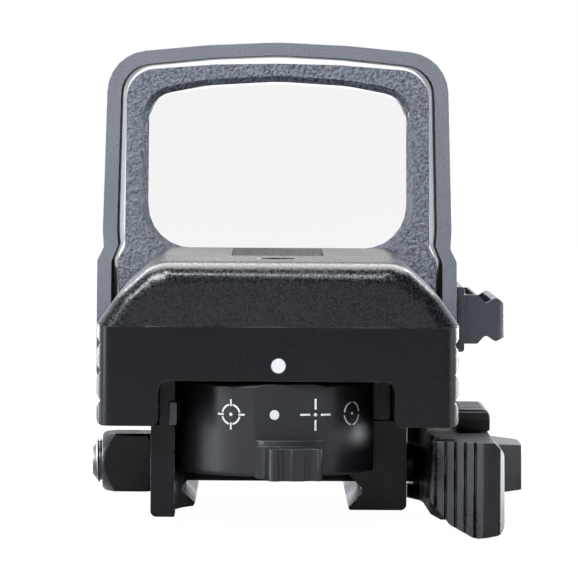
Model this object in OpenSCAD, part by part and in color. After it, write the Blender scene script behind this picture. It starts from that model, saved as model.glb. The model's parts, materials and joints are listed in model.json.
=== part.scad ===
// Open reflex (red dot) sight with hood, four-pattern selector drum and a
// quick-detach clamp for a 21.2 mm cross-slot dovetail rail.
// +Y is the direction the user looks (objective end, the front), +X is right, +Z is up.
// The origin is the centre of the seat face that rests on top of the rail.

/* [Rail clamp] */
// Width of the accessory rail across its V edges
rail_w = 21.2; // [20.8:0.1:21.6]
// Clearance between each jaw and the rail edge
jaw_gap = 0.1; // [0.05:0.05:0.3]
// Opening travel of the moving jaw
jaw_travel = 2.5; // [1.5:0.1:2.8]
// Radius of the cross bolt, which drops into a 5.2 mm recoil slot
bolt_r = 2.4; // [2.0:0.1:2.5]
// Height of the cross bolt axis relative to the rail seat
bolt_z = -0.6; // [-0.8:0.1:-0.4]

/* [Housing] */
// Overall width of the housing
body_w = 42.1; // [41.8:0.1:42.4]
// Sideways offset of the housing centre from the rail centre
sight_dx = 0.55; // [0.45:0.05:0.65]
// Height of the housing underside above the rail seat
body_z0 = 6.05; // [6.0:0.05:6.2]
// Height of the joint between lower housing and rear cover
seam_z = 17.6; // [17.5:0.05:17.7]
// Height of the flat top of the rear cover
cover_z = 25.1; // [24.8:0.1:25.4]
// Radius of the large fillet at the back of the housing and rear cover
cover_fillet = 2.4; // [1.2:0.2:2.8]
// Wall thickness of the cover
wall = 1.8; // [1.6:0.1:2.0]

/* [Window and hood] */
// Rake of window frame and hood, degrees from vertical, top leaning to the front
rake_a = 12; // [10:1:13]
// Half width of the clear window
win_hw = 16.5; // [16:0.1:16.8]
// Height of the top of the hood
hood_z = 51.4; // [51:0.1:52]
// Thickness of the hood band
hood_t = 1.8; // [1.6:0.1:2.0]
// Depth of the hood along the line of sight
hood_len = 28.5; // [28:0.5:30]

/* [Selector drum] */
// Radius of the selector drum
drum_r = 11.56; // [11.2:0.02:11.6]
// Turning angle between two patterns
detent_step = 26; // [24:1:27]
// Width of the thumb tab
tab_w = 6.2; // [5:0.1:7]

/* [Battery drawer] */
// Diameter of the coin cell
cell_d = 20; // [19.6:0.1:20]
// Thickness of the coin cell
cell_t = 3.2; // [2.5:0.1:3.2]

/* [Quick-detach lever] */
// Height of the thumb paddle
paddle_h = 11.1; // [10:0.1:11.4]
// Number of grooves between the grip ribs of the paddle
rib_count = 5; // [3:1:6]

/* [Hidden] */
$fn = 48;

// Colours shared by several pieces
clamp_black = [0.12, 0.125, 0.14];
button_black = [0.08, 0.08, 0.08];
screw_grey = [0.2, 0.2, 0.21];
dark_steel = [0.3, 0.3, 0.31];
clip_steel = [0.5, 0.5, 0.52];
bright_steel = [0.7, 0.7, 0.72];
clear_glass = [0.8, 0.85, 0.9, 0.35];

// Housing
body_half = body_w / 2;
back_y = -39.5;          // rear face of the housing
frame_y = 13.5;          // rear face of the window frame base
front_y = 41.5;          // front end of the housing
channel_left = -13.3;    // channel under the housing for the clamp
channel_right = 14.15;
channel_z = 11.3;
floor_z = 12.9;          // floor of the electronics bay
post_z = floor_z - 0.5;  // posts start inside the floor
deck_z = 19.4;           // top of the front deck that carries the window frame
groove_z = [8.95, 12.3, 15.55];  // V grooves along both sides
groove_half = 0.75;
groove_depth = 0.5;

// Screws from below, and hood screws
head_seat_z = 8;
frame_screw_x = 17.2;
frame_screw_y = [15, 39.2];
frame_screw_len = [15, 12.6];
hood_screw_y = [20, 34];
hood_screw_z = 9.5;

// Selector drum
drum_x = 0.34;
drum_y = -28;
drum_z0 = 0.2;
drum_z1 = 10.9;
tab_a = 9;               // direction of the thumb tab, degrees from straight back
ball_track_r = 8.5;      // radius of the detent track

// Emitter, adjusters and buttons
emitter_y = -21.3;
windage_z = 19.6;
led_z = 21.3;
elevation_y = -26.2;
button_up_y = -6;
button_down_y = 3;
button_z = 15.2;

// Battery drawer
tray_y = 27;
tray_z = 16.05;          // mid height of the pull
pocket_z = 14.5;         // step that the coin cell rests on
pull_x = 23.0;           // inner end of the pull, from the sight centre

// Clamp and lever
jaw_x = rail_w / 2 + jaw_gap;
jaw_bottom = -4.8;
bolt_y = -6;
guide_y = [-13.4, 18];   // guide pins of the moving jaw
guide_z = 3;
spring_y = 5.5;          // jaw spring, level with the guide pins
pivot_x = 22.6;          // lever pivot, on the line of the cross bolt
cam_r = 6.25;            // cam reach at rest, from pivot to washer
lever_open = 100;        // opening angle of the lever
lever_z0 = -4.8;
lever_z1 = 4.55;

// ---- outlines: each point is [x, y, corner radius] ----
function xy(point) = [point[0], point[1]];
function unit(vector) = vector / norm(vector);
function corner_arc(before, corner, after, radius, steps) =
  let (
    back = unit(xy(before) - xy(corner)),
    ahead = unit(xy(after) - xy(corner)),
    half = acos(max(-0.99999, min(0.99999, back * ahead))) / 2,
    centre = xy(corner) + unit(back + ahead) * (radius / sin(half)),
    from = xy(corner) + back * (radius / tan(half)) - centre,
    to = xy(corner) + ahead * (radius / tan(half)) - centre,
    start = atan2(from[1], from[0]),
    turn = atan2(to[1], to[0]) - start,
    sweep = turn > 180 ? turn - 360 : turn < -180 ? turn + 360 : turn
  )
  [for (i = [0:steps]) let (a = start + sweep * i / steps) centre + radius * [cos(a), sin(a)]];
function rounded(points, steps = 6) =
  let (count = len(points))
  [for (i = [0:count - 1])
    let (point = points[i])
    each (point[2] > 0
      ? corner_arc(points[(i + count - 1) % count], point, points[(i + 1) % count],
          point[2], steps)
      : [xy(point)])];
// full closed outline from its x >= 0 half, listed bottom to top
function mirrored(half) = concat(half,
  [for (i = [len(half) - 1:-1:0]) if (half[i][0] > 0.001) [-half[i][0], half[i][1], half[i][2]]]);
module rounded_poly(points, steps = 6) polygon(rounded(points, steps));

// ---- solids ----
// outline in X-Z swept along Y
module sweep_y(y0, y1) translate([0, y1, 0]) rotate([90, 0, 0]) linear_extrude(y1 - y0) children();
// outline in Y-Z swept along X
module sweep_x(x0, x1) translate([x0, 0, 0]) rotate([90, 0, 90]) linear_extrude(x1 - x0) children();
module box(low, high) translate(low) cube(high - low);
module rod_x(x0, x1, r, y, z) translate([x0, y, z]) rotate([0, 90, 0]) cylinder(h = x1 - x0, r = r);
module rod_y(y0, y1, r, x, z) translate([x, y0, z]) rotate([-90, 0, 0]) cylinder(h = y1 - y0, r = r);
module rod_z(z0, z1, r, x = 0, y = 0) translate([x, y, z0]) cylinder(h = z1 - z0, r = r);
module ring(height, outer, inner, bore_h = 3) difference() {
  cylinder(h = height, r = outer);
  translate([0, 0, -1]) cylinder(h = bore_h, r = inner);
}
// retaining clip: ring with a gap towards +Y
module clip(height, outer, inner, gap, reach = 3) difference() {
  ring(height, outer, inner);
  translate([-gap / 2, 0, -1]) cube([gap, reach, 3]);
}
// shank up from z = 0, head with hex socket below
module cap_screw(length, radius, head_r, head_h) difference() {
  union() {
    cylinder(h = length, r = radius);
    translate([0, 0, -head_h]) cylinder(h = head_h, r = head_r);
  }
  translate([0, 0, -head_h - 1]) cylinder(h = 1 + head_h * 0.6, r = head_r * 0.5, $fn = 6);
}
// spring as a stack of true turns, joined by short posts
module coil(radius, wire, turns, pitch) {
  for (i = [0:turns - 1]) translate([0, 0, wire + i * pitch])
    rotate_extrude($fn = 32) translate([radius, 0]) circle(r = wire, $fn = 16);
  for (i = [0:turns - 2]) translate([radius, 0, wire + i * pitch])
    cylinder(h = pitch, r = wire * 0.7, $fn = 16);
}

// ---- places ----
// Pieces inside on_sight() measure x from the housing centre
module on_sight() translate([sight_dx, 0, 0]) children();
module at_grid(xs, ys) for (x = xs, y = ys) translate([x, y, 0]) children();
module at_cover_screws() at_grid([-16.6, 16.6], [-35.2, 9.8]) children();
module at_mount_screws() at_grid([-6, 5.2], [1.5, 9.5]) children();
module at_drum(z = 0) translate([drum_x, drum_y, z]) children();
module at_detent(z = 0) translate([drum_x, drum_y + ball_track_r, z]) children();
module at_pivot() translate([pivot_x, bolt_y, 0]) children();

// ---- housing ----
module base_solid() {
  on_sight() {
    difference() {
      intersection() {
        linear_extrude(40) rounded_poly(mirrored([
          [body_half + 0.03, back_y - 0.03, cover_fillet],
          [body_half + 0.03, front_y + 1, 0]]), 10);
        sweep_y(back_y, front_y) rounded_poly(mirrored([
          [body_half, body_z0, 0.8],
          for (z = groove_z) each [
            [body_half, z - groove_half, 0],
            [body_half - groove_depth, z, 0],
            [body_half, z + groove_half, 0]],
          [body_half, seam_z, 0]]));
      }
      // electronics bay
      box([-18.2, back_y + 2.2, floor_z], [18.2, frame_y - 1.5, seam_z + 1]);
    }
    // deck that carries the window frame
    sweep_y(frame_y, front_y) rounded_poly(mirrored([[20.2, seam_z - 0.5, 0], [20.2, deck_z, 0]]));
    at_cover_screws() rod_z(post_z, seam_z, 1.9);
  }
  at_mount_screws() rod_z(post_z, 14.4, 2.6);
  // circuit board posts
  at_grid([-11, 12], [-34, -8]) rod_z(post_z, 15.1, 1.5);
  at_detent() rod_z(post_z, 14.35, 2.2);
}
module screw_bore(top) {
  rod_z(body_z0 - 1, top, 1.05);
  rod_z(body_z0 - 1, head_seat_z, 2.1);
}
module base_body() color([0.13, 0.135, 0.15]) difference() {
  base_solid();
  // clamp channel, closed at the front by a chin
  sweep_y(back_y - 1, 31) rounded_poly([
    [channel_left - 2, body_z0 - 1, 0], [channel_right + 2, body_z0 - 1, 0],
    [channel_right + 2, body_z0 - 0.02, 0], [channel_right, body_z0 - 0.02, 0.9],
    [channel_right, channel_z, 1.2], [channel_left, channel_z, 1.2],
    [channel_left, body_z0 - 0.02, 0.9], [channel_left - 2, body_z0 - 0.02, 0]]);
  at_mount_screws() rod_z(channel_z - 1, 14.2, 1.25);
  // selector bush seat and detent bore
  at_drum() rod_z(channel_z - 1, 14.6, 3.2);
  at_detent() rod_z(channel_z - 1, 13.9, 1.06);
  on_sight() {
    // battery drawer slot and the contact slots below it
    tray_box(-11, body_half + 1, 10.75, 14, 18.1);
    for (x = [-5, 5]) tray_box(x - 1.1, x + 1.1, 6, 13.4, 15);
    for (y = hood_screw_y, side = [0, 1]) mirror([side, 0, 0])
      rod_x(body_half - 4, body_half + 1, 1.0, y, hood_screw_z);
    at_grid([-frame_screw_x, frame_screw_x], frame_screw_y) screw_bore(deck_z + 1);
    at_cover_screws() screw_bore(seam_z + 1);
    // recess under the seam for the gasket
    difference() {
      box([-20.3, back_y + 0.9, seam_z - 0.25], [20.3, frame_y - 0.3, seam_z + 1]);
      box([-19.2, back_y + 1.9, seam_z - 1], [19.2, frame_y - 0.9, seam_z + 2]);
    }
    // button bores in the left wall
    for (y = [button_up_y, button_down_y]) rod_x(-body_half - 1, -18, 1.9, y, button_z);
    // round dot recess in the back face
    rod_y(back_y - 1, back_y + 0.15, 0.9, 0.08, 13.1);
  }
}
// outline of the cover, shrunk by inset
module cover_outline(inset) rounded_poly(mirrored([
  [body_half - inset, 8, 0],
  [body_half - inset, seam_z + 0.2 - 0.3 * inset, 0],
  [18.6 - 0.78 * inset, 21.3 - 0.62 * inset, 8],
  [14.4 - 0.36 * inset, cover_z - inset, 4.5]]));
module cover_solid() {
  difference() {
    intersection() {
      // stacked sections form the rear fillet
      hull() for (a = [0:22.5:90])
        sweep_y(back_y + cover_fillet * (1 - cos(a)), frame_y - 0.1)
          cover_outline(cover_fillet * (1 - sin(a)));
      box([-30, back_y - 1, seam_z + 0.05], [30, frame_y, 40]);
    }
    sweep_y(back_y + wall + 0.8, frame_y - 2)
      rounded_poly(mirrored([[18.2, 10, 0], [18.2, 18.6, 0], [12.6, cover_z - wall, 0]]));
  }
  // walls of the emitter well
  difference() {
    box([-8.6, -18.7, seam_z + 0.05], [8.6, frame_y - 0.2, cover_z - 0.5]);
    sweep_x(-20, 20)
      polygon([[-30, 10], [frame_y, 10], [frame_y, 22.3], [-16, 17.7], [-30, 17.7]]);
  }
  // screw posts and elevation screw boss
  at_cover_screws() rod_z(seam_z + 0.05, 20.5, 1.9);
  rod_z(21.9, cover_z - 0.6, 3.1, 0, elevation_y);
}
module rear_cover() color([0.14, 0.145, 0.16]) on_sight() difference() {
  cover_solid();
  // emitter well, open to the window
  sweep_x(-5.6, 5.6)
    polygon([[-17, cover_z + 5], [-17, 19.2], [11.6, cover_z - 0.02], [11.6, cover_z + 5]]);
  // opening in the back wall of the well, with a seat for its glass
  box([-4.2, -19.5, 19.7], [4.2, -16, 23.4]);
  box([-4.8, -19.5, 19.3], [4.8, -17.85, 23.8]);
  at_cover_screws() rod_z(seam_z - 1, 20, 0.95);
  // elevation screw seat, windage screw access hole
  rod_z(23.7, cover_z + 1, 2.5, 0, elevation_y);
  rod_z(20, cover_z, 1.5, 0, elevation_y);
  rod_x(-body_half - 2, -14, 2.6, emitter_y, windage_z);
}
module cover_gasket() color([0.05, 0.05, 0.05]) on_sight() difference() {
  box([-20.25, back_y + 0.95, seam_z - 0.25], [20.25, frame_y - 0.35, seam_z + 0.05]);
  box([-19.25, back_y + 1.85, seam_z - 1], [19.25, frame_y - 0.85, seam_z + 2]);
}
module cover_screws() color(screw_grey) on_sight() at_cover_screws()
  translate([0, 0, head_seat_z]) cap_screw(11.8, 0.93, 1.9, 1.5);
module frame_screws() color(screw_grey) on_sight() for (x = [-frame_screw_x, frame_screw_x], i = [0, 1])
  translate([x, frame_screw_y[i], head_seat_z]) cap_screw(frame_screw_len[i], 0.95, 1.9, 1.5);

// ---- window frame ----
rake_z = 22.4;  // height of the line the raked parts tilt about
function lean(height) = height * tan(rake_a);
function up_rake(z) = (z - rake_z) / cos(rake_a);
module raked() translate([0, frame_y, rake_z]) rotate([-rake_a, 0, 0]) children();
// window outline in the raked plane, enlarged by grow
module window(grow) rounded_poly(mirrored([
  [win_hw + grow, up_rake(25.2) - grow, 5.6 + grow],
  [win_hw + grow, up_rake(44.3) + grow, 3.4 + grow],
  [9, up_rake(45.75) + grow, 20],
  [0, up_rake(46.3) + grow, 30]]));
// window outline seen level along the line of sight
module level_window(grow) translate([0, rake_z]) scale([1, cos(rake_a)]) window(grow);
module lens_frame() color([0.16, 0.17, 0.19]) on_sight() difference() {
  intersection() {
    sweep_y(frame_y - 1, front_y) rounded_poly(mirrored([
      [20.2, deck_z, 0], [20.42, 23.3, 0.6], [19.43, 25.1, 1.2], [19.43, 47.62, 3.8],
      [8, 48.5, 20], [0, 48.65, 30]]), 8);
    sweep_x(-30, 30) polygon([
      [frame_y, deck_z + 0.02], [frame_y, rake_z], [frame_y + lean(27), rake_z + 27],
      [frame_y + lean(27) + 10, rake_z + 27], [frame_y + 11.8, 25.6], [frame_y + 16, 22.2],
      [front_y - 1.2, 21.4], [front_y - 0.5, deck_z + 0.02]]);
  }
  raked() {
    sweep_y(-1, 20) window(0);
    // chamfer at the rear rim
    hull() {
      sweep_y(-0.3, -0.2) window(1.0);
      sweep_y(0.9, 1.0) window(0);
    }
    // seat for lens and retainer
    sweep_y(1.5, 20) window(0.95);
  }
  // level opening ahead of the glass
  sweep_y(frame_y + 2.5, 60) level_window(0.04);
  for (x = [-frame_screw_x, frame_screw_x], i = [0, 1])
    rod_z(deck_z - 1, head_seat_z + frame_screw_len[i] + 0.2, 1.0, x, frame_screw_y[i]);
}
module objective_lens() color(clear_glass) on_sight() raked() sweep_y(2.35, 5.6) window(0.85);
module lens_retainer() color([0.1, 0.1, 0.1]) on_sight() difference() {
  raked() difference() {
    sweep_y(1.55, 2.29) window(0.9);
    sweep_y(1, 3) window(0.3);
  }
  sweep_y(0, 60) level_window(0.1);
}

// ---- hood ----
hood_rear = frame_y - 0.5;
hood_outer = [[22.95, 7.4, 2], [22.95, 23.4, 0.8], [22.15, 25.0, 0.8], [22.3, 27.2, 2],
  [21.87, 49.78, 5.4], [9, 51.0, 25], [0, hood_z, 40]];
hood_inner = [[21.13, -5, 0], [21.13, 23.2, 0.8], [22.1 - hood_t, 25.2, 0.8],
  [22.25 - hood_t, 27.4, 2], [21.9 - hood_t, 48.12, 3.9], [8.6, 49.3, 25], [0, hood_z - 1.7, 40]];
module hood() color([0.2, 0.21, 0.23]) on_sight() difference() {
  intersection() {
    sweep_y(frame_y - 1, 60) difference() {
      rounded_poly(mirrored(hood_outer));
      rounded_poly(mirrored(hood_inner));
    }
    sweep_x(-30, 30) polygon([
      [hood_rear, 0], [hood_rear, 18.5], [hood_rear + lean(34), 52.5],
      [hood_rear + lean(34) + hood_len - 6.5, 52.5], [hood_rear + hood_len + 1, 42],
      [hood_rear + hood_len, 26], [hood_rear + hood_len, 0]]);
  }
  for (y = hood_screw_y) {
    rod_x(-30, 30, 1.15, y, hood_screw_z);
    for (x = [-23.1, 23.1]) rod_x(x - 0.9, x + 0.9, 2.1, y, hood_screw_z);
  }
  tray_box(15, 30, 10.75, 14, 18.1);
}
module hood_screws() color([0.22, 0.22, 0.23]) on_sight() for (side = [-1, 1], y = hood_screw_y)
  translate([side * 22.2, y, hood_screw_z]) rotate([0, -90 * side, 0])
    cap_screw(4.6, 0.98, 1.95, 0.7);

// ---- selector ----
module thumb_tab() difference() {
  translate([0, 0, 0.05]) linear_extrude(3.7) rounded_poly([
    [-tab_w / 2 - 0.9, -10.6, 0], [tab_w / 2 + 0.2, -10.6, 0], [tab_w / 2, -15.4, 0.7],
    [-tab_w / 2, -15.4, 0.7], [-tab_w / 2, -12.4, 1.4]]);
  // upright grip flutes
  for (x = [-1.35, 1.75]) translate([x, -15.9, -1]) cylinder(h = 6, r = 0.95);
}
module selector_drum() color([0.17, 0.175, 0.19]) at_drum() difference() {
  union() {
    rotate_extrude($fn = 96) polygon([
      [0, drum_z0], [drum_r - 0.6, drum_z0], [drum_r - 0.18, drum_z0 + 0.18],
      [drum_r, drum_z0 + 0.6], [drum_r, drum_z1 - 0.3], [drum_r - 0.3, drum_z1], [0, drum_z1]]);
    rotate([0, 0, tab_a]) thumb_tab();
  }
  // flat above the tab
  rotate([0, 0, tab_a]) box([-4.05, -20, 4.4], [4.05, -10.83, 20]);
  // stop notch in the side
  rotate([0, 0, -78]) box([-1.1, -12, 5.9], [1.1, -10.7, 8.7]);
  // underside relief for the axle head, axle bore
  translate([0, 0, -1]) cylinder(h = 3.35, r = 3.6);
  translate([0, 0, -1]) cylinder(h = 20, r = 2.03);
  // detent track with four dimples
  rotate_extrude($fn = 96) translate([ball_track_r, 11.58]) circle(r = 1.1);
  for (i = [-1:2]) rotate([0, 0, 90 + i * detent_step])
    translate([ball_track_r, 0, 11.3]) sphere(r = 1.07);
}
module selector_axle() color([0.6, 0.6, 0.62]) at_drum() difference() {
  union() {
    translate([0, 0, 0.6]) cylinder(h = 1.7, r = 3.5);
    translate([0, 0, 0.6]) cylinder(h = 15, r = 2.0);
  }
  // clip groove and screwdriver slot
  translate([0, 0, 14.35]) ring(0.45, 3, 1.6);
  translate([-3, -0.35, 0]) cube([6, 0.7, 1.1]);
}
module axle_bush() color([0.72, 0.58, 0.3]) at_drum(channel_z) ring(3, 3.18, 2.05, 6);
module axle_clip() color(clip_steel) at_drum(14.37) clip(0.4, 3.0, 1.62, 2.4, 4);
module selector_wiper() color([0.8, 0.62, 0.3]) at_drum(14.85) difference() {
  union() {
    cylinder(h = 0.25, r = 3.2);
    for (a = [60, 120]) rotate([0, 0, a]) translate([-0.5, 0, 0]) cube([1, 6.6, 0.25]);
  }
  translate([0, 0, -1]) cylinder(h = 3, r = 2.01);
}
module detent_ball() color([0.75, 0.75, 0.77]) at_detent(11.55) sphere(r = 1.0, $fn = 32);
module detent_spring() color(bright_steel) at_detent(12.58) coil(0.75, 0.16, 3, 0.48);
module stop_peg() color(dark_steel) sweep_y(-36.2, -34.35) rounded_poly([
  [-12.05, 5.95, 0], [-11.15, 5.95, 0.25], [-11.15, 8.65, 0.25], [-12.05, 8.65, 0]]);

// ---- emitter and adjusters ----
module at_elevation(z) translate([0, elevation_y, z]) children();
module at_windage(x) translate([x, emitter_y, windage_z]) rotate([0, 90, 0]) children();
module windage_bore() rod_x(-10, 10, 1.25, emitter_y, windage_z);
module emitter_frame() color([0.3, 0.3, 0.32]) on_sight() difference() {
  union() {
    box([-8, emitter_y - 1.9, 16.4], [8, emitter_y + 1.9, 21.3]);
    box([-4, elevation_y - 2.3, 16.4], [4, emitter_y - 1.5, 20.8]);
  }
  box([-5.4, emitter_y - 1.5, 17.4], [5.4, emitter_y + 3, 23]);
  windage_bore();
  rod_z(15, 23, 1.35, 0, elevation_y);
}
module emitter_block() color([0.22, 0.22, 0.24]) on_sight() difference() {
  box([-3.4, emitter_y - 1.4, 17.5], [3.4, emitter_y + 1.8, 22.2]);
  windage_bore();
  rod_y(emitter_y + 1.2, emitter_y + 3, 0.9, 0, led_z);
}
module emitter_led() color([0.9, 0.2, 0.15]) on_sight() {
  rod_y(emitter_y + 1.2, emitter_y + 1.5, 0.88, 0, led_z);
  rod_y(emitter_y + 1.5, emitter_y + 1.9, 0.6, 0, led_z);
}
module emitter_window() color(clear_glass) on_sight() box([-4.75, -18.6, 19.35], [4.75, -17.9, 23.75]);
module elevation_screw() color(dark_steel) on_sight() difference() {
  union() {
    rod_z(23.72, 24.9, 2.4, 0, elevation_y);
    rod_z(16.2, 23.8, 1.3, 0, elevation_y);
  }
  box([-3, elevation_y - 0.3, 24.3], [3, elevation_y + 0.3, 26]);
  at_elevation(21.45) ring(0.4, 2, 1.0);
}
module elevation_clip() color(clip_steel) on_sight() at_elevation(21.47) clip(0.36, 2.2, 1.02, 1.6);
module windage_screw() color(dark_steel) on_sight() difference() {
  union() {
    rod_x(-10.5, 9.2, 1.2, emitter_y, windage_z);
    rod_x(-17.9, -8.05, 1.9, emitter_y, windage_z);
  }
  box([-19, emitter_y - 0.3, 17], [-17.2, emitter_y + 0.3, 22]);
  at_windage(8.1) ring(0.4, 2, 0.9);
}
module windage_clip() color(clip_steel) on_sight() at_windage(8.12) clip(0.36, 2, 0.92, 1.4);

// ---- circuit board and buttons ----
// square components: [x, y, side]
board_parts = [[-11, -14, 4], [6, -12, 5], [-6, 2, 3], [8, 4, 3.4]];
module circuit_board() color([0.05, 0.3, 0.15]) difference() {
  on_sight() {
    box([-14, back_y + 2.6, 15.12], [14, frame_y - 2.2, 15.8]);
    for (part = board_parts)
      translate([part[0], part[1], 15.75]) cube([part[2], part[2], 0.95]);
  }
  at_drum() rod_z(14, 18, 2.4);
  on_sight() at_cover_screws() rod_z(14, 18, 2.8);
}
// button with one bar cut into its outer face for each angle
module button(y, angles) on_sight() difference() {
  rod_x(-body_half - 0.75, -17.2, 1.83, y, button_z);
  for (a = angles) translate([-body_half - 0.75, y, button_z])
    rotate([a, 0, 0]) cube([0.5, 2.2, 0.4], center = true);
}
module button_up() color(button_black) button(button_up_y, [0, 90]);
module button_down() color(button_black) button(button_down_y, [0]);

// ---- battery drawer ----
// box centred on the drawer along y
module tray_box(x0, x1, half, z0, z1) box([x0, tray_y - half, z0], [x1, tray_y + half, z1]);
// side profile [x, z] and plan [x, y] of the pull, x from its inner end
pull_profile = [[0.05, -4.15, 0], [1.0, -4.15, 0.4], [1.05, -3.13, 0], [2.7, -3.13, 0.4],
  [3.75, -1.98, 0.5], [5.0, -2.87, 0.6], [6.35, -2.2, 0.4], [6.35, 1.9, 0.4], [5.0, 2.87, 0.6],
  [3.75, 1.98, 0.5], [2.7, 3.13, 0.4], [1.05, 3.13, 0], [1.0, 4.15, 0.4], [0.05, 4.15, 0]];
pull_plan = [
  [-2, tray_y - 12.6, 0], [1.0, tray_y - 12.6, 0], [1.05, tray_y - 11.95, 0],
  [6.4, tray_y - 11.95, 1.5], [6.4, tray_y + 11.95, 1.5], [1.05, tray_y + 11.95, 0],
  [1.0, tray_y + 12.6, 0], [-2, tray_y + 12.6, 0]];
module battery_tray() color([0.15, 0.15, 0.165]) on_sight() difference() {
  union() {
    translate([pull_x, 0, tray_z]) intersection() {
      sweep_y(tray_y - 12.5, tray_y + 12.5) rounded_poly(pull_profile, 4);
      translate([0, 0, -10]) linear_extrude(20) rounded_poly(pull_plan, 8);
    }
    tray_box(-10.9, pull_x + 0.3, 10.65, 14.1, 18.0);
  }
  // coin cell pocket and opening below it
  rod_z(pocket_z, 19, cell_d / 2 + 0.12, 0, tray_y);
  rod_z(13, 19, 6, 0, tray_y);
  // groove for the seal
  difference() {
    tray_box(12.4, 13.6, 12, 13, 19);
    tray_box(12, 14, 10.1, 14.65, 17.45);
  }
  // two slots in the top of the pull
  tray_box(pull_x + 1.25, pull_x + 2.35, 11.3, tray_z + 2.3, tray_z + 5);
  tray_box(pull_x + 3.1, pull_x + 4.5, 11.3, tray_z + 0.9, tray_z + 5);
}
module coin_battery() color([0.75, 0.75, 0.77]) on_sight() {
  rod_z(pocket_z + 0.02, pocket_z + cell_t - 0.48, cell_d / 2, 0, tray_y);
  rod_z(pocket_z + cell_t - 0.53, pocket_z + cell_t, cell_d / 2 - 1.2, 0, tray_y);
}
module tray_seal() color([0.03, 0.03, 0.03]) on_sight() difference() {
  tray_box(12.45, 13.55, 10.7, 14.05, 18.05);
  tray_box(12, 14, 10.12, 14.63, 17.47);
}
module battery_contacts() color([0.8, 0.65, 0.35]) on_sight()
  for (x = [-5, 5]) tray_box(x - 1, x + 1, 5.9, 13.42, 14.04);

// ---- clamp ----
module bolt_rod(x0, x1, r = bolt_r + 0.1) rod_x(x0, x1, r, bolt_y, bolt_z);
module guide_rods(x0, x1, r) for (y = guide_y) rod_x(x0, x1, r, y, guide_z);
module spring_bore(x0, x1) rod_x(x0, x1, 1.3, spring_y, guide_z);
module mount_base() color(clamp_black) difference() {
  sweep_y(-35.6, 29) rounded_poly([
    [-14.2, jaw_bottom, 0.7], [-9.4, jaw_bottom, 0], [-9.2, -4.42, 0], [-jaw_x, -2.9, 0],
    [-jaw_x, -2.2, 0], [-8.5, 0, 0], [8.3, 0, 0], [8.3, 5.95, 0], [14.0, 5.95, 0.3],
    [14.0, 11.2, 1.15], [-13.2, 11.2, 1.15], [-13.2, 5.95, 0], [-14.2, 5.95, 0.3]]);
  // pocket for the drum, open to the back and right
  at_drum() rod_z(-6, 12, drum_r + 0.4);
  box([-11.4, -40, -6], [16, drum_y - 2, 12]);
  box([7.6, -41, -7], [17, -25.2, 13]);
  bolt_rod(-16, 9);
  guide_rods(1.4, 9, 1.5);
  spring_bore(5, 9);
  // counterbored screw holes in the seat
  at_mount_screws() {
    rod_z(-1, 12, 1.6);
    rod_z(-1, 2.6, 2.9);
  }
  // slot for the stop peg
  box([-12.1, -37, 5.9], [-11, -34.3, 8.7]);
  // pocket at the front
  box([-8.5, 22, 3], [4, 27, 12]);
}
module mount_screws() color(dark_steel) at_mount_screws()
  translate([0, 0, 2.58]) cap_screw(11.2, 1.22, 2.7, 2.2);
module moving_jaw() color(clamp_black) difference() {
  sweep_y(-25.2, 21) rounded_poly([
    [16.0, jaw_bottom, 0.7], [16.0, 5.85, 0.4], [8.36, 5.85, 0], [8.36, -0.05, 0],
    [8.55, -0.05, 0], [jaw_x, -2.2, 0], [jaw_x, -2.9, 0], [9.1, -4.5, 0], [9.1, jaw_bottom, 0.3]]);
  bolt_rod(8, 17);
  guide_rods(8, 17, 1.56);
  spring_bore(8, 12.2);
  // seat for the cam washer, clearance for the drum
  box([14.6, bolt_y - 4.6, -6], [17, bolt_y + 4.6, 4.5]);
  at_drum() rod_z(-0.1, 12, drum_r + 0.42);
}
module jaw_guide_pins() color(bright_steel) guide_rods(1.45, 15.2, 1.5);
module jaw_springs() color(bright_steel)
  translate([5.1, spring_y, guide_z]) rotate([0, 90, 0]) coil(1.0, 0.2, 6, 1.1);
module cross_bolt() color([0.35, 0.35, 0.37]) difference() {
  union() {
    bolt_rod(-21.4, 19.1, bolt_r);
    translate([-21.4, bolt_y, bolt_z]) rotate([0, -90, 0])
      cylinder(h = 0.6, r1 = bolt_r, r2 = bolt_r - 0.7);
    // flat eye for the lever pin
    intersection() {
      box([18.9, bolt_y - 3.2, bolt_z - 2.38], [26.2, bolt_y + 3.2, bolt_z + 2.38]);
      union() {
        at_pivot() rod_z(-5, 5, 3.2);
        box([18, bolt_y - 3.2, -5], [pivot_x, bolt_y + 3.2, 5]);
      }
    }
  }
  at_pivot() rod_z(-8, 8, 1.56);
}
// square nut with its corners turned down
module lock_nut() color([0.13, 0.13, 0.145]) difference() {
  intersection() {
    box([-20.8, bolt_y - 3.55, bolt_z - 3.55], [-14.8, bolt_y + 3.55, bolt_z + 3.55]);
    translate([-20.8, bolt_y, bolt_z]) rotate([0, 90, 0]) rotate_extrude($fn = 64)
      polygon([[0, 0], [3.3, 0], [4.85, 1.5], [4.85, 5.5], [4.4, 6], [0, 6]]);
  }
  bolt_rod(-22, -14, bolt_r + 0.03);
}
module nut_washer() color(clip_steel) difference() {
  bolt_rod(-14.75, -14.25, 3.4);
  bolt_rod(-16, -14);
}

// ---- lever ----
// the cam reach falls as the lever opens
function cam_reach(angle) = cam_r - 0.3 - jaw_travel * min(1, angle / lever_open);
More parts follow.
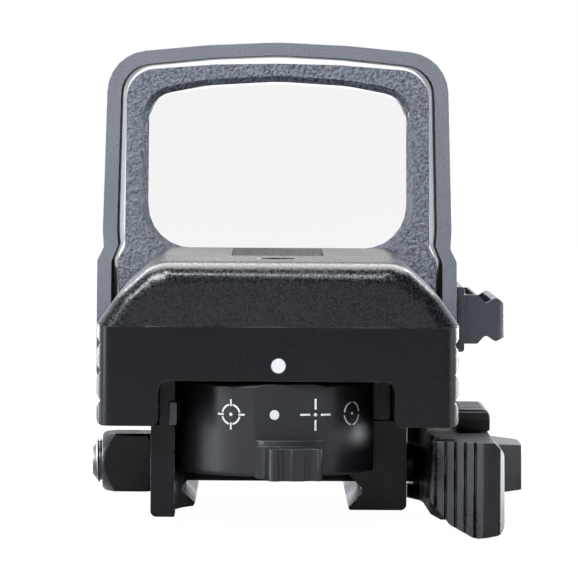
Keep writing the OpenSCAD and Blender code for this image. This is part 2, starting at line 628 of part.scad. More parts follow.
// plan outline of hub and arm about the pivot
lever_arm = [[4.6, 1.9, 0.6], [7.7, 1.2, 0.4], [7.7, -8.2, 0.4], [4.3, -12.4, 4], [3.4, -22, 6],
  [3.6, -31, 0], [-3.0, -31, 0], [-3.9, -24, 3], [-4.25, -8, 1], [-4.6, -5.4, 0.8],
  [-6.1, -1.3, 0.3]];
lever_plan = concat(
  [for (a = [0:6:150]) cam_reach(a) * [-cos(a), sin(a)]],
  rounded(lever_arm, 5));
module lever_body() intersection() {
  at_pivot() translate([0, 0, lever_z0]) linear_extrude(lever_z1 - lever_z0) polygon(lever_plan);
  sweep_y(-50, 10) polygon([
    [10, lever_z0], [24.5, lever_z0], [27, -3.3], [pivot_x + 9, -3.15], [pivot_x + 9, 2.05],
    [27, 2.6], [25.6, lever_z1], [10, lever_z1]]);
}
module ribbed_paddle() intersection() {
  sweep_y(-44, -31.5) rounded_poly([
    [26.9, -6.0, 1.2], [26.8, 3.2, 1.4], [25.6, paddle_h - 6.55, 0.6],
    [18.8, paddle_h - 6.7, 0.6], [18.3, -2.6, 0.6], [20.6, -5.2, 1.5], [23.4, -6.6, 1.5]]);
  translate([0, 0, -10]) linear_extrude(20) difference() {
    rounded_poly([
      [18.2, -31.4, 0], [18.2, -37.2, 0.6], [24.6, -42.6, 1], [26.2, -42.2, 0.8],
      [27.0, -39.5, 1.5], [26.5, -34, 2], [25.9, -31.4, 0]]);
    for (i = [0:rib_count - 1]) translate([18.95 + i * 1.1, -37.95 - i * 0.93])
      rotate(-40.2) translate([-0.28, -0.6]) square([0.56, 1.0]);
  }
}
module qd_lever() color(clamp_black) difference() {
  union() {
    lever_body();
    ribbed_paddle();
  }
  // slot for the bolt eye, pin bore
  box([pivot_x - 9, bolt_y - 3.45, bolt_z - 2.5], [pivot_x + 4.3, bolt_y + 9, bolt_z + 2.5]);
  at_pivot() rod_z(-8, 8, 1.55);
  // lock slider track and spring pocket
  box([22.2, -27, 3.3], [24.6, -12.5, 6]);
  box([22.9, -13, 3.3], [23.9, -10, 6]);
}
module lever_pivot_pin() color([0.65, 0.65, 0.67])
  at_pivot() rod_z(lever_z0 - 0.3, lever_z1 - 0.05, 1.5);
module cam_washer() color(clip_steel) difference() {
  box([14.65, bolt_y - 4.5, jaw_bottom + 0.05], [pivot_x - cam_r - 0.02, bolt_y + 4.5, 4.4]);
  bolt_rod(14, 18);
}
module lever_lock() color([0.14, 0.145, 0.16]) difference() {
  union() {
    box([22.3, -24.6, 3.4], [24.5, -16.2, 4.8]);
    sweep_y(-24.6, -9.6) rounded_poly([
      [21.95, 4.62, 0], [25.9, 4.62, 0.3], [25.9, 7.2, 0.9], [21.95, 7.2, 0.4]]);
    // thumb lip
    sweep_y(-25.8, -24.4) rounded_poly([
      [22.0, 6.0, 0.2], [25.6, 6.0, 0.4], [25.8, 6.95, 0.4], [22.0, 6.95, 0.2]]);
  }
  // grip grooves across the top
  for (i = [0:3]) box([22.8, -21.6 + i * 2.6, 6.85], [25.0, -20.6 + i * 2.6, 8]);
}
module lock_spring() color(bright_steel)
  translate([23.4, -12.9, 3.9]) rotate([-90, 0, 0]) coil(0.34, 0.12, 7, 0.38);

base_body();
rear_cover();
cover_gasket();
cover_screws();
lens_frame();
frame_screws();
objective_lens();
lens_retainer();
hood();
hood_screws();
selector_drum();
selector_axle();
axle_bush();
axle_clip();
selector_wiper();
detent_ball();
detent_spring();
stop_peg();
emitter_frame();
emitter_block();
emitter_led();
emitter_window();
elevation_screw();
elevation_clip();
windage_screw();
windage_clip();
circuit_board();
button_up();
button_down();
battery_tray();
coin_battery();
tray_seal();
battery_contacts();
mount_base();
mount_screws();
moving_jaw();
jaw_guide_pins();
jaw_springs();
cross_bolt();
lock_nut();
nut_washer();
qd_lever();
lever_pivot_pin();
cam_washer();
lever_lock();
lock_spring();
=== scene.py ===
"""A small optical sight on a quick-release mount, on a pale floor.

The CAD pieces load in place. +Z is up, X runs across the sight, and the sight looks along +Y.
The camera stands behind it at -Y and looks along +Y, so +X is on the right of the view.
The CAD pieces get softened copies, finishes, markings and a bolt thread.
"""
import json
import math

import bmesh
import bpy
from mathutils import Matrix, Vector


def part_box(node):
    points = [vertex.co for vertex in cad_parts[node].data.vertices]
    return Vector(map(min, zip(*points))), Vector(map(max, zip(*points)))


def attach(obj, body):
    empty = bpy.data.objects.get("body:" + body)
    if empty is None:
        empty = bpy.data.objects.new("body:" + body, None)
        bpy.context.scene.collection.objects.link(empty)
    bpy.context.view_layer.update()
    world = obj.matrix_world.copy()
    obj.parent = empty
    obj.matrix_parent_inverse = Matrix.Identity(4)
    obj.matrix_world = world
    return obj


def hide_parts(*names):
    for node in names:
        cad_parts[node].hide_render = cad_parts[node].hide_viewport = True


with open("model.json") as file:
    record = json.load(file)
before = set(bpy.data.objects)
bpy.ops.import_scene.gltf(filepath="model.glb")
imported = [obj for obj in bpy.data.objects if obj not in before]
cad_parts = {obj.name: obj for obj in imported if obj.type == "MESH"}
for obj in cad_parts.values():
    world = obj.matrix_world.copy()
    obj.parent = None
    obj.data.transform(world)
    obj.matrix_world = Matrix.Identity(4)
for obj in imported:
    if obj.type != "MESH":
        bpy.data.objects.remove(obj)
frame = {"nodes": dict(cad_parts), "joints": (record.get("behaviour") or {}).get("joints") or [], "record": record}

MM = 0.001

nodes = frame["nodes"]
record = frame["record"]
body_of = {
    node: body
    for body, members in record["behaviour"]["bodies"].items()
    for node in members
}
slot_of = {part["node"]: part["material_slot"] for part in record["subparts"]}


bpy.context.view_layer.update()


# ------------------------------------------------------------------ shader helpers
def empty_tree(block):
    """Turn on the nodes of a material or world and return its cleared tree."""
    block.use_nodes = True
    block.node_tree.nodes.clear()
    return block.node_tree


def add_node(tree, kind, inputs=None, **settings):
    """Add a node. An input is either a value or an output socket to link from."""
    node = tree.nodes.new("ShaderNode" + kind)
    for name, value in settings.items():
        setattr(node, name, value)
    for key, value in (inputs or {}).items():
        if isinstance(value, bpy.types.NodeSocket):
            tree.links.new(value, node.inputs[key])
        else:
            node.inputs[key].default_value = value
    return node


def noise(tree, vector, scale, detail, roughness=0.5):
    inputs = {"Vector": vector, "Scale": scale, "Detail": detail, "Roughness": roughness}
    return add_node(tree, "TexNoise", inputs).outputs["Fac"]


def remap(tree, value, source, target=(0.0, 1.0), **settings):
    """Map the source (low, high) onto the target (low, high)."""
    inputs = {
        "Value": value,
        "From Min": source[0],
        "From Max": source[1],
        "To Min": target[0],
        "To Max": target[1],
    }
    return add_node(tree, "MapRange", inputs, **settings).outputs[0]


def mix_colour(tree, factor, first, second):
    """Blend two colours, each an RGB triple or a colour socket."""
    inputs = {0: factor}
    for socket, colour in ((6, first), (7, second)):
        inputs[socket] = (*colour, 1) if isinstance(colour, tuple) else colour
    return add_node(tree, "Mix", inputs, data_type="RGBA").outputs[2]


def math_node(tree, operation, first, second):
    return add_node(tree, "Math", {0: first, 1: second}, operation=operation).outputs[0]


def dot_product(tree, first, second):
    node = add_node(tree, "VectorMath", {0: first, 1: second}, operation="DOT_PRODUCT")
    return node.outputs["Value"]


def add_bump(tree, height, normal, depth, strength):
    """Bump on top of a normal, depth in mm."""
    inputs = {"Strength": strength, "Distance": depth * MM, "Height": height, "Normal": normal}
    return add_node(tree, "Bump", inputs).outputs[0]


def seen_directly(tree):
    """1 for rays straight from the camera or through glass, 0 for all other rays."""
    path = add_node(tree, "LightPath").outputs
    return math_node(tree, "MAXIMUM", path["Is Camera Ray"], path["Is Transmission Ray"])


def new_surface(name):
    material = bpy.data.materials.new(name)
    tree = empty_tree(material)
    surface = add_node(tree, "BsdfPrincipled")
    add_node(tree, "OutputMaterial", {0: surface.outputs[0]})
    return material, tree, surface


# ------------------------------------------------------------------ finishes
BROAD_SCALE = 90.0  # slow drift in colour and roughness
HIGHLIGHT_BREAKUP_SCALE = 420.0  # patches that break up the painted edge highlight
GRAIN_SPAN = (0.36, 0.64)  # the part of the grain noise that is used
BROAD_SPAN = (0.3, 0.7)
HIGHLIGHT_BREAKUP_SPAN = (0.42, 0.62)
EDGE_COSINE = (0.995, 0.90)  # rounded against flat normal: no painted edge highlight, full painted edge highlight
COAT_ROUGHNESS = 0.25

# pale blue painted onto edges as a highlight
EDGE_HIGHLIGHT_BLUE = (0.55, 0.57, 0.62)

# dark, light: the colours it drifts between     roughness, spread: middle, and swing each way
# grain: noise scale     depth, strength: grain bump, depth in mm     stretch: grain scale on X, Y, Z
# pits: a second bump layer     grain_and_glint_speckle: brightness range of the grain in the colour, part real grain tone and part painted glints
# grain_roughness: roughness swing of the grain     rounding: radius of shaded edges in mm
# edge, edge_highlight: colour and amount of the highlight painted onto edges, in patches
FINISHES = {
    "housing_black": dict(
        dark=(0.0014, 0.0016, 0.0022), light=(0.0024, 0.0026, 0.0034), roughness=0.27, ior=1.31,
        grain=5200, depth=0.01, strength=0.5, edge=EDGE_HIGHLIGHT_BLUE, edge_highlight=0.16),
    "cover_cast": dict(
        dark=(0.0018, 0.0020, 0.0027), light=(0.0028, 0.0031, 0.0040), roughness=0.29,
        spread=0.04, ior=1.45, grain_and_glint_speckle=(0.5, 1.6), grain_roughness=0.09,
        grain=3400, depth=0.05, strength=0.6,
        pits=dict(scale=7600, depth=0.016, strength=0.5), edge=EDGE_HIGHLIGHT_BLUE, edge_highlight=0.1),
    # wide colour speckle here: part real cast grain and part painted glints off the grain
    "cast_frame_black": dict(
        dark=(0.031, 0.035, 0.047), light=(0.045, 0.051, 0.065), roughness=0.42,
        grain_and_glint_speckle=(0.25, 1.9), grain_roughness=0.08, grain=2400, depth=0.3, strength=0.9,
        pits=dict(scale=1200, depth=0.1, strength=0.5), edge=EDGE_HIGHLIGHT_BLUE, edge_highlight=0.12),
    "hood_black": dict(
        dark=(0.046, 0.049, 0.061), light=(0.057, 0.060, 0.074), roughness=0.55,
        grain_and_glint_speckle=(0.7, 1.3), grain_roughness=0.04, grain=5200, depth=0.02, strength=0.6,
        edge=EDGE_HIGHLIGHT_BLUE, edge_highlight=0.2),
    "drum_black": dict(
        dark=(0.0050, 0.0054, 0.0066), light=(0.0068, 0.0072, 0.0088), roughness=0.38, ior=1.42,
        grain=6500, depth=0.008, strength=0.5, edge=EDGE_HIGHLIGHT_BLUE, edge_highlight=0.15),
    "moulded_black": dict(
        dark=(0.018, 0.020, 0.025), light=(0.026, 0.028, 0.034), roughness=0.34,
        grain=3800, depth=0.02, strength=0.5, edge=EDGE_HIGHLIGHT_BLUE, edge_highlight=0.12),
    "mount_black": dict(
        dark=(0.0014, 0.0015, 0.0020), light=(0.0024, 0.0026, 0.0033), roughness=0.27, ior=1.30,
        grain=4200, depth=0.01, strength=0.5, edge=EDGE_HIGHLIGHT_BLUE, edge_highlight=0.22),
    "lever_black": dict(
        dark=(0.0014, 0.0015, 0.0020), light=(0.0024, 0.0026, 0.0033), roughness=0.30, ior=1.40,
        grain=3600, depth=0.014, strength=0.55, edge=EDGE_HIGHLIGHT_BLUE, edge_highlight=0.2),
    "black_steel": dict(
        dark=(0.035, 0.036, 0.04), light=(0.05, 0.051, 0.055), roughness=0.34, metallic=0.7,
        grain=3000, depth=0.006, strength=0.4, stretch=(1, 1, 0.15),
        edge=(0.6, 0.6, 0.62), edge_highlight=0.4),
    "bright_steel": dict(
        dark=(0.46, 0.46, 0.48), light=(0.58, 0.58, 0.60), roughness=0.28, metallic=1.0,
        grain=2600, depth=0.006, strength=0.45, stretch=(0.12, 1, 1),
        edge=(0.9, 0.9, 0.9), edge_highlight=0.3),
    "brass": dict(
        dark=(0.55, 0.38, 0.12), light=(0.68, 0.50, 0.20), roughness=0.30, metallic=1.0,
        grain=2600, depth=0.006, strength=0.4, stretch=(1, 1, 0.12),
        edge=(0.95, 0.8, 0.45), edge_highlight=0.3),
    "rubber_black": dict(
        dark=(0.010, 0.010, 0.010), light=(0.016, 0.016, 0.017), roughness=0.72,
        grain=2400, depth=0.03, strength=0.6),
    "emitter_alloy": dict(
        dark=(0.05, 0.05, 0.055), light=(0.07, 0.07, 0.075), roughness=0.4, metallic=0.6,
        grain=3000, depth=0.01, strength=0.4, edge=(0.7, 0.7, 0.72), edge_highlight=0.3),
    "emitter_red": dict(
        dark=(0.45, 0.02, 0.012), light=(0.6, 0.04, 0.02), roughness=0.2, coat=0.5,
        grain=2000, depth=0.006, strength=0.3),
    "board_green": dict(
        dark=(0.008, 0.07, 0.03), light=(0.012, 0.10, 0.045), roughness=0.3, coat=0.3,
        grain=900, depth=0.03, strength=0.4),
    "mark_white": dict(
        dark=(0.40, 0.408, 0.416), light=(0.45, 0.458, 0.466), roughness=0.55,
        grain=5000, depth=0.01, strength=0.4, rounding=0.03),
    "mark_grey": dict(
        dark=(0.42, 0.43, 0.44), light=(0.56, 0.57, 0.58), roughness=0.6,
        grain=5000, depth=0.01, strength=0.4, rounding=0.02),
}


def finish(name, dark, light, roughness, grain, depth, strength, spread=0.08, metallic=0.0,
           ior=1.5, edge=None, edge_highlight=0.0, coat=0.0, pits=None, stretch=(1, 1, 1),
           rounding=0.12, grain_and_glint_speckle=(0.85, 1.15), grain_roughness=0.02):
    """Opaque finish with grain, uneven colour and roughness, colour speckle that is part grain and part painted
    glints, and a highlight that may be painted onto its edges.
    """
    material, tree, surface = new_surface(name)
    place = add_node(tree, "TexCoord").outputs["Object"]
    stretched = add_node(tree, "Mapping", {0: place, "Scale": stretch}).outputs[0]
    fine = noise(tree, stretched, grain, detail=3.0, roughness=0.55)
    broad = noise(tree, place, BROAD_SCALE, detail=5.0)

    # broad colour drift, speckled by the grain: part real grain tone and part painted glints
    inputs = {
        0: mix_colour(tree, broad, dark, light),
        "Scale": remap(tree, fine, GRAIN_SPAN, grain_and_glint_speckle),
    }
    colour = add_node(tree, "VectorMath", inputs, operation="SCALE").outputs[0]

    # grain bump over a slightly rounded normal
    rounded = add_node(tree, "Bevel", {"Radius": rounding * MM}, samples=4).outputs[0]
    normal = add_bump(tree, fine, rounded, depth, strength)
    if pits:
        pit_noise = noise(tree, stretched, pits["scale"], detail=2.0)
        normal = add_bump(tree, pit_noise, normal, pits["depth"], pits["strength"])

    # highlight painted onto edges where the rounded normal turns away from the flat one, broken up in patches
    if edge:
        flat = add_node(tree, "NewGeometry").outputs["Normal"]
        edges = remap(tree, dot_product(tree, rounded, flat), EDGE_COSINE)
        highlight_breakup = remap(tree, noise(tree, place, HIGHLIGHT_BREAKUP_SCALE, detail=4.0), HIGHLIGHT_BREAKUP_SPAN)
        painted_edge_highlight = math_node(tree, "MULTIPLY", edges, highlight_breakup)
        colour = mix_colour(tree, math_node(tree, "MULTIPLY", painted_edge_highlight, edge_highlight), colour, edge)

    broad_part = remap(tree, broad, BROAD_SPAN, (roughness - spread, roughness + spread))
    fine_part = remap(tree, fine, GRAIN_SPAN, (-grain_roughness, grain_roughness))
    uneven = math_node(tree, "ADD", broad_part, fine_part)

    tree.links.new(normal, surface.inputs["Normal"])
    tree.links.new(colour, surface.inputs["Base Color"])
    tree.links.new(uneven, surface.inputs["Roughness"])
    surface.inputs["Metallic"].default_value = metallic
    surface.inputs["IOR"].default_value = ior
    if coat:
        surface.inputs["Coat Weight"].default_value = coat
        surface.inputs["Coat Roughness"].default_value = COAT_ROUGHNESS
    return material


def coated_glass():
    """Nearly clear glass with a faint uneven film."""
    material, tree, surface = new_surface("coated_glass")
    place = add_node(tree, "TexCoord").outputs["Object"]
    film = noise(tree, place, scale=60.0, detail=2.0)
    tint = mix_colour(tree, film, (0.893, 0.894, 0.895), (0.906, 0.907, 0.908))
    haze = remap(tree, film, source=(0.0, 1.0), target=(0.0, 0.02))
    tree.links.new(tint, surface.inputs["Base Color"])
    tree.links.new(haze, surface.inputs["Roughness"])
    surface.inputs["Transmission Weight"].default_value = 1.0
    surface.inputs["IOR"].default_value = 1.12
    return material


LEVER_END_NORMAL = (0.777, -0.629, 0.0)
LEVER_END_COSINE = (0.93, 0.98)  # where the end face starts and is fully reached
LEVER_SPECULAR = (0.5, 0.05)  # on the sides, on the end face


def darken_lever_end(material):
    """Weaken reflections on the lever's cut end face, so it looks deeper black."""
    tree = material.node_tree
    surface = next(n for n in tree.nodes if n.type == "BSDF_PRINCIPLED")
    normal = add_node(tree, "TexCoord").outputs["Normal"]
    facing = dot_product(tree, normal, LEVER_END_NORMAL)
    specular = remap(tree, facing, LEVER_END_COSINE, LEVER_SPECULAR)
    tree.links.new(specular, surface.inputs["Specular IOR Level"])


materials = {name: finish(name, **look) for name, look in FINISHES.items()}
materials["coated_glass"] = coated_glass()
darken_lever_end(materials["lever_black"])

for node_name, cad_object in nodes.items():
    cad_object.data.materials.clear()
    cad_object.data.materials.append(materials[slot_of[node_name]])


# ------------------------------------------------------------------ mesh helpers
WELD_DISTANCE = 3e-6
DEGENERATE_LENGTH = 1e-6
FLAT_ANGLE = math.radians(1.2)  # faces closer than this merge into one
MAX_AREA_GROWTH = 1.06  # a bevel that adds more area than this has gone wrong


def new_object(name, bm, material, body, smooth=35.0):
    """Object from a bmesh, shaded smooth below the given angle in degrees."""
    mesh = bpy.data.meshes.new(name)
    bm.to_mesh(mesh)
    bm.free()
    mesh.update()
    ob = bpy.data.objects.new(name, mesh)
    bpy.context.scene.collection.objects.link(ob)
    for polygon in mesh.polygons:
        polygon.use_smooth = True
    mesh.set_sharp_from_angle(angle=math.radians(smooth))
    mesh.materials.append(materials[material])
    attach(ob, body)
    return ob


def copy_of(node):
    """A welded copy of a CAD mesh, without UV maps and with flat areas merged."""
    bm = bmesh.new()
    bm.from_mesh(nodes[node].data)
    for layer in list(bm.loops.layers.uv):
        bm.loops.layers.uv.remove(layer)
    bmesh.ops.remove_doubles(bm, verts=bm.verts, dist=WELD_DISTANCE)
    bmesh.ops.dissolve_degenerate(bm, dist=DEGENERATE_LENGTH, edges=bm.edges)
    bmesh.ops.dissolve_limit(bm, angle_limit=FLAT_ANGLE, verts=bm.verts, edges=bm.edges)
    return bm


def bevel_edges(bm, width, angle=32.0):
    """Round every edge sharper than the angle in degrees, as far as there is room."""
    bm.normal_update()
    sharp = [
        edge for edge in bm.edges
        if len(edge.link_faces) == 2 and edge.calc_face_angle(0.0) > math.radians(angle)
    ]
    if sharp:
        bmesh.ops.bevel(
            bm, geom=sharp, offset=width, offset_type="OFFSET", segments=2, profile=0.6,
            affect="EDGES", clamp_overlap=True, miter_outer="SHARP", miter_inner="SHARP",
            harden_normals=False)


def surface_area(bm):
    return sum(face.calc_area() for face in bm.faces)


# ------------------------------------------------------------------ softened CAD pieces
# CAD node: bevel width in mm
BEVEL_WIDTHS = {
    "base_body": 0.28, "rear_cover": 0.22, "lens_frame": 0.3, "hood": 0.26,
    "selector_drum": 0.16, "mount_base": 0.3, "moving_jaw": 0.3, "qd_lever": 0.3,
    "lever_lock": 0.2, "lock_nut": 0.28, "battery_tray": 0.2, "cross_bolt": 0.15,
    "button_up": 0.12, "button_down": 0.12, "stop_peg": 0.08,
}
SPECIAL_FINISH = {"rear_cover": "cover_cast"}  # all others wear their slot's own finish


def soften(node, width):
    """Replace a CAD piece with a copy whose sharp edges are rounded."""
    bm = copy_of(node)
    area_before = surface_area(bm)
    bevel_edges(bm, width)
    closed = all(len(edge.link_faces) == 2 for edge in bm.edges)
    if not closed or surface_area(bm) >= area_before * MAX_AREA_GROWTH:
        # the bevel opened or folded the mesh, so the piece keeps its plain edges
        bm.free()
        bm = copy_of(node)
    slot = slot_of[node]
    ob = new_object("v_" + node, bm, SPECIAL_FINISH.get(node, slot), body_of[node])
    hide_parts(node)
    weighted = ob.modifiers.new("flat_faces_lead", "WEIGHTED_NORMAL")
    weighted.mode = "FACE_AREA"
    weighted.weight = 80
    weighted.keep_sharp = True


for node_name, bevel_width in BEVEL_WIDTHS.items():
    soften(node_name, bevel_width * MM)

# ------------------------------------------------------------------ index dot
DOT_RADIUS = 0.88 * MM
DOT_TAPER = 0.93  # outer face radius over inner face radius
DOT_THICKNESS = 0.12 * MM
DOT_SHIFT_X = 0.08 * MM  # from the middle of the body
DOT_INSET = 0.08 * MM  # dot centre, in from the body's -Y limit
DOT_HEIGHT = 13.1 * MM


def index_dot():
    """White disc on the body, with its narrower face towards -Y."""
    low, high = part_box("base_body")
    centre = ((low.x + high.x) / 2 + DOT_SHIFT_X, low.y + DOT_INSET, DOT_HEIGHT)
    bm = bmesh.new()
    bmesh.ops.create_cone(
        bm, cap_ends=True, segments=40, radius1=DOT_RADIUS, radius2=DOT_RADIUS * DOT_TAPER,
        depth=DOT_THICKNESS)
    upright = Matrix.Rotation(math.radians(90), 3, "X")
    bmesh.ops.rotate(bm, verts=bm.verts, cent=(0, 0, 0), matrix=upright)
    bmesh.ops.translate(bm, verts=bm.verts, vec=centre)
    new_object("index_dot", bm, "mark_white", "housing")


index_dot()

# ------------------------------------------------------------------ drum marks
# Angles are about the drum axis, from -Y towards +X.
DRUM_RADIUS = 11.56 * MM
FLAT_DIRECTION = math.radians(9.0)
FLAT_DISTANCE = 10.83 * MM  # from the drum axis to its flat
MARK_HEIGHT = 7.4 * MM
MARK_LIFT = 0.03 * MM  # above the drum surface
MARK_SINK = 0.05 * MM  # below the drum surface

axle_low, axle_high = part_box("selector_axle")
DRUM_AXIS = Vector(((axle_low.x + axle_high.x) / 2, (axle_low.y + axle_high.y) / 2, 0))


def on_drum(angle, across, up, lift):
    """Point on the drum's curve or flat; across and up are in mm from the mark's centre."""
    theta = angle + across * MM / DRUM_RADIUS
    outward = Vector((math.sin(theta), -math.cos(theta), 0))
    radius = min(DRUM_RADIUS, FLAT_DISTANCE / math.cos(theta - FLAT_DIRECTION))
    point = DRUM_AXIS + outward * (radius + lift)
    return Vector((point.x, point.y, MARK_HEIGHT + up * MM))


def ribbon(bm, angle, points, width):
    """Raised ribbon along (across, up) points, all in mm."""
    last = len(points) - 1
    rows = []
    for i, (across, up) in enumerate(points):
        before, after = points[max(i - 1, 0)], points[min(i + 1, last)]
        along_x, along_y = after[0] - before[0], after[1] - before[1]
        length = math.hypot(along_x, along_y)
        side_x, side_y = -along_y / length * width / 2, along_x / length * width / 2
        section = ((1, -MARK_SINK), (1, MARK_LIFT), (-1, MARK_LIFT), (-1, -MARK_SINK))
        rows.append([
            bm.verts.new(on_drum(angle, across + side * side_x, up + side * side_y, lift))
            for side, lift in section
        ])
    bridge_rows(bm, rows)


def bridge_rows(bm, rows):
    """Closed bar through a run of four-cornered sections."""
    for row, following in zip(rows, rows[1:]):
        for k in range(4):
            j = (k + 1) % 4
            bm.faces.new((row[k], row[j], following[j], following[k]))
    bm.faces.new(rows[0][::-1])
    bm.faces.new(rows[-1])


def pad(bm, angle, radius, segments=28):
    """Raised round dot, radius in mm."""
    top, bottom = [], []
    for i in range(segments):
        turn = 2 * math.pi * i / segments
        across, up = radius * math.cos(turn), radius * math.sin(turn)
        top.append(bm.verts.new(on_drum(angle, across, up, MARK_LIFT)))
        bottom.append(bm.verts.new(on_drum(angle, across, up, -MARK_SINK)))
    bm.faces.new(top)
    bm.faces.new(bottom[::-1])
    for i in range(segments):
        j = (i + 1) % segments
        bm.faces.new((top[j], top[i], bottom[i], bottom[j]))


def arc_points(radius, start, end, steps=12):
    turns = [math.radians(start + (end - start) * i / steps) for i in range(steps + 1)]
    return [(radius * math.cos(turn), radius * math.sin(turn)) for turn in turns]


def spoke_points(inner, outer, degrees, steps):
    c, s = math.cos(math.radians(degrees)), math.sin(math.radians(degrees))
    x0, y0, x1, y1 = inner * c, inner * s, outer * c, outer * s
    return [(x0 + (x1 - x0) * i / steps, y0 + (y1 - y0) * i / steps) for i in range(steps + 1)]


def drum_mark(name, material, degrees, dot, width=0.0, ring=None, spokes=None):
    """Mark with a central dot, an optional broken ring and optional spokes, sizes in mm.

    dot: dot radius     width: line width     ring: radius, and the degrees cut off each end
    of a quarter     spokes: inner and outer radius, steps
    """
    angle = math.radians(degrees)
    bm = bmesh.new()
    for quarter in range(4):
        start = 90 * quarter
        if ring:
            radius, gap = ring
            ribbon(bm, angle, arc_points(radius, start + gap, start + 90 - gap), width)
        if spokes:
            inner, outer, steps = spokes
            ribbon(bm, angle, spoke_points(inner, outer, start, steps), width)
    pad(bm, angle, dot)
    bmesh.ops.recalc_face_normals(bm, faces=bm.faces)
    new_object(name, bm, material, "selector")


drum_mark("mark_ring_ticks", "mark_white", degrees=-26.7, dot=0.19, width=0.2,
          ring=(1.13, 12), spokes=(0.95, 1.75, 6))
drum_mark("mark_dot", "mark_white", degrees=-0.7, dot=0.57)
drum_mark("mark_cross", "mark_white", degrees=24.3, dot=0.2, width=0.22,
          spokes=(0.62, 1.85, 10))
drum_mark("mark_thin_ring", "mark_grey", degrees=50.4, dot=0.16, width=0.13, ring=(1.32, 8))

# ------------------------------------------------------------------ bolt thread
THREAD_ROOT = 2.34 * MM
THREAD_CREST = 2.7 * MM
THREAD_PITCH = 0.4 * MM
THREAD_BURIAL = 0.08 * MM  # the ridge's feet lie this far under the root
THREAD_BOLT_GAP = 0.45 * MM  # from the bolt's -X end to the thread
THREAD_NUT_GAP = 0.12 * MM  # from the thread to the nut's -X face
THREAD_STEPS = 36  # per turn
THREAD_FADE = 8.0  # steps over which each end rises to full height


def bolt_thread():
    """Helical ridge along X on the bare end of the cross bolt."""
    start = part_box("cross_bolt")[0].x + THREAD_BOLT_GAP
    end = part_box("lock_nut")[0].x - THREAD_NUT_GAP
    nut_turn = next(j for j in frame["joints"] if j["name"] == "nut_turn")
    centre_y, centre_z = nut_turn["pos_m"][1], nut_turn["pos_m"][2]
    steps = int(THREAD_STEPS * ((end - start) / THREAD_PITCH))
    foot = THREAD_ROOT - THREAD_BURIAL
    bm = bmesh.new()
    rows = []
    for i in range(steps + 1):
        turn = 2 * math.pi * i / THREAD_STEPS
        x = start + (end - start) * i / steps
        height = min(1.0, i / THREAD_FADE, (steps - i) / THREAD_FADE)
        crest = THREAD_ROOT + (THREAD_CREST - THREAD_ROOT) * height
        # offset along X in pitches, radius
        section = ((-0.46, foot), (-0.06, crest), (0.06, crest), (0.46, foot))
        rows.append([
            bm.verts.new((
                x + offset * THREAD_PITCH,
                centre_y + radius * math.cos(turn),
                centre_z + radius * math.sin(turn),
            ))
            for offset, radius in section
        ])
    bridge_rows(bm, rows)
    bmesh.ops.recalc_face_normals(bm, faces=bm.faces)
    new_object("bolt_thread", bm, "black_steel", "housing", smooth=30)


bolt_thread()

# ------------------------------------------------------------------ drawer parting line
SEAM_SIZE = (0.10 * MM, 20.6 * MM, 0.16 * MM)
SEAM_INSET = 0.02 * MM  # seam centre, in from the tray's +X limit
SEAM_HEIGHT = 15.6 * MM
SEAM_BEVEL = 0.03 * MM


def drawer_parting_line():
    """Fine raised seam along Y on the +X side of the battery drawer."""
    low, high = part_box("battery_tray")
    centre = (high.x - SEAM_INSET, (low.y + high.y) / 2, SEAM_HEIGHT)
    bm = bmesh.new()
    bmesh.ops.create_cube(bm, size=1.0)
    bmesh.ops.scale(bm, vec=SEAM_SIZE, verts=bm.verts)
    bmesh.ops.translate(bm, vec=centre, verts=bm.verts)
    bevel_edges(bm, SEAM_BEVEL, angle=30)
    new_object("drawer_parting_line", bm, "moulded_black", "battery_drawer")


drawer_parting_line()

# ------------------------------------------------------------------ floor
FLOOR_SIZE = 8.0
FLOOR_GAP = 0.04 * MM  # below the lowest piece
FLOOR_BOUNCE = (0.32, 0.32, 0.32)  # diffuse colour that lights the sight
FLOOR_SEEN = (0.03, 0.03, 0.03)  # diffuse colour in view, under the glow
FLOOR_GLOW = 0.985


def floor_material():
    """Glows nearly white when seen directly, and is grey to all other rays."""
    material = bpy.data.materials.new("floor_pale")
    tree = empty_tree(material)
    seen = seen_directly(tree)
    colour = mix_colour(tree, seen, FLOOR_BOUNCE, FLOOR_SEEN)
    diffuse = add_node(tree, "BsdfDiffuse", {"Color": colour})
    strength = math_node(tree, "MULTIPLY", seen, FLOOR_GLOW)
    glow = add_node(tree, "Emission", {"Color": (1, 1, 1, 1), "Strength": strength})
    both = add_node(tree, "AddShader", {0: diffuse.outputs[0], 1: glow.outputs[0]})
    add_node(tree, "OutputMaterial", {0: both.outputs[0]})
    return material


lowest = min(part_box(node_name)[0].z for node_name in nodes)
bpy.ops.mesh.primitive_plane_add(size=FLOOR_SIZE, location=(0, 0, lowest - FLOOR_GAP))
floor = bpy.context.object
floor.name = "floor"
floor.data.materials.append(floor_material())

# ------------------------------------------------------------------ world
WORLD_SPAN = (-0.10, 0.55)  # Y of the ray direction over which the brightness changes
WORLD_STRENGTH = (0.05, 1.25)  # dim behind the camera, bright ahead of the sight
WORLD_COLOUR = (0.90, 0.94, 1.0, 1)


def studio_world():
    """White when seen directly; otherwise pale ahead of the sight and dim behind the camera."""
    world = bpy.data.worlds.new("studio")
    bpy.context.scene.world = world
    tree = empty_tree(world)
    direction = add_node(tree, "TexCoord").outputs["Generated"]
    ahead = add_node(tree, "SeparateXYZ", {0: direction}).outputs["Y"]
    strength = remap(tree, ahead, WORLD_SPAN, WORLD_STRENGTH, interpolation_type="SMOOTHSTEP")
    lit = add_node(tree, "Background", {"Color": WORLD_COLOUR, "Strength": strength})
    white = add_node(tree, "Background", {"Color": (1, 1, 1, 1), "Strength": 1.0})
    inputs = {0: seen_directly(tree), 1: lit.outputs[0], 2: white.outputs[0]}
    mixed = add_node(tree, "MixShader", inputs)
    add_node(tree, "OutputWorld", {0: mixed.outputs[0]})


studio_world()

# ------------------------------------------------------------------ lights
LAMP_TARGET = Vector((0.0, -0.01, 0.02))
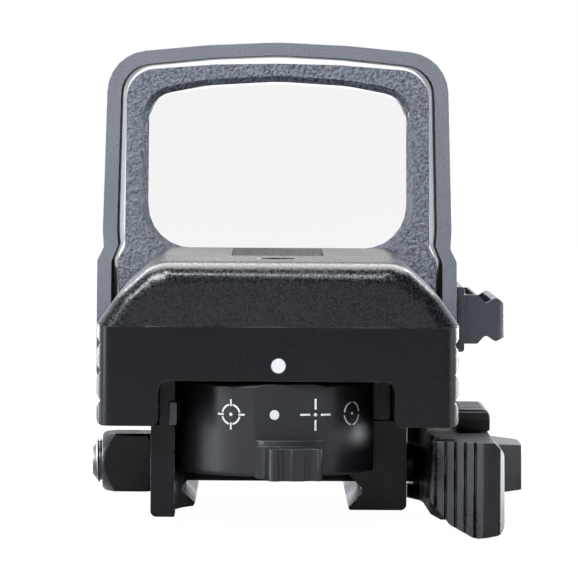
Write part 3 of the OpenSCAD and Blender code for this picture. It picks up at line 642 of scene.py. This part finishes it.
# name, place in m, width and height in m, power in W, colour
LAMPS = (
    ("softbox_top", (0.0, 0.16, 0.62), 0.8, 0.6, 14.0, (1.0, 1.0, 1.0)),
    ("softbox_back_high", (-0.24, -0.53, 0.47), 0.52, 0.20, 11.5, (0.88, 0.93, 1.0)),
    ("strip_left", (-0.42, 0.27, 0.045), 0.34, 0.09, 3.6, (0.92, 0.96, 1.0)),
    ("strip_right", (0.42, 0.29, 0.045), 0.34, 0.09, 4.8, (0.92, 0.96, 1.0)),
    ("flank_left", (-0.40, 0.46, 0.50), 0.26, 0.26, 2.8, (0.92, 0.96, 1.0)),
    ("flank_right", (0.40, 0.46, 0.50), 0.26, 0.26, 2.2, (0.92, 0.96, 1.0)),
    ("kick_left", (-0.44, -0.16, 0.0), 0.10, 0.26, 1.6, (0.90, 0.95, 1.0)),
    ("kick_right", (0.44, -0.12, 0.0), 0.14, 0.26, 0.8, (0.90, 0.95, 1.0)),
)

for name, place, width, height, power, colour in LAMPS:
    lamp_data = bpy.data.lights.new(name, "AREA")
    lamp_data.shape = "RECTANGLE"
    lamp_data.size = width
    lamp_data.size_y = height
    lamp_data.energy = power
    lamp_data.color = colour
    lamp = bpy.data.objects.new(name, lamp_data)
    bpy.context.scene.collection.objects.link(lamp)
    lamp.location = place
    aim = LAMP_TARGET - Vector(place)
    lamp.rotation_euler = aim.to_track_quat("-Z", "Y").to_euler()

# ------------------------------------------------------------------ camera
SENSOR_WIDTH = 36.0  # mm
FOCAL_LENGTH = 278.4083045  # mm
LENS_SHIFT = (0.043252595, -0.3183391)  # in sensor widths
CLIP_RANGE = (0.01, 20.0)
CAMERA_PLACE = (-1.23 * MM, -556.8 * MM, 43.3 * MM)
CAMERA_ROLL = math.radians(-0.35)

camera_data = bpy.data.cameras.new("camera")
camera_data.sensor_width = SENSOR_WIDTH
camera_data.lens = FOCAL_LENGTH
camera_data.shift_x, camera_data.shift_y = LENS_SHIFT
camera_data.clip_start, camera_data.clip_end = CLIP_RANGE
camera = bpy.data.objects.new("camera", camera_data)
bpy.context.scene.collection.objects.link(camera)
camera.location = CAMERA_PLACE
camera.rotation_euler = (math.radians(90), CAMERA_ROLL, 0)
bpy.context.scene.camera = camera
bpy.context.scene.view_settings.view_transform = "Standard"

bpy.context.view_layer.update()
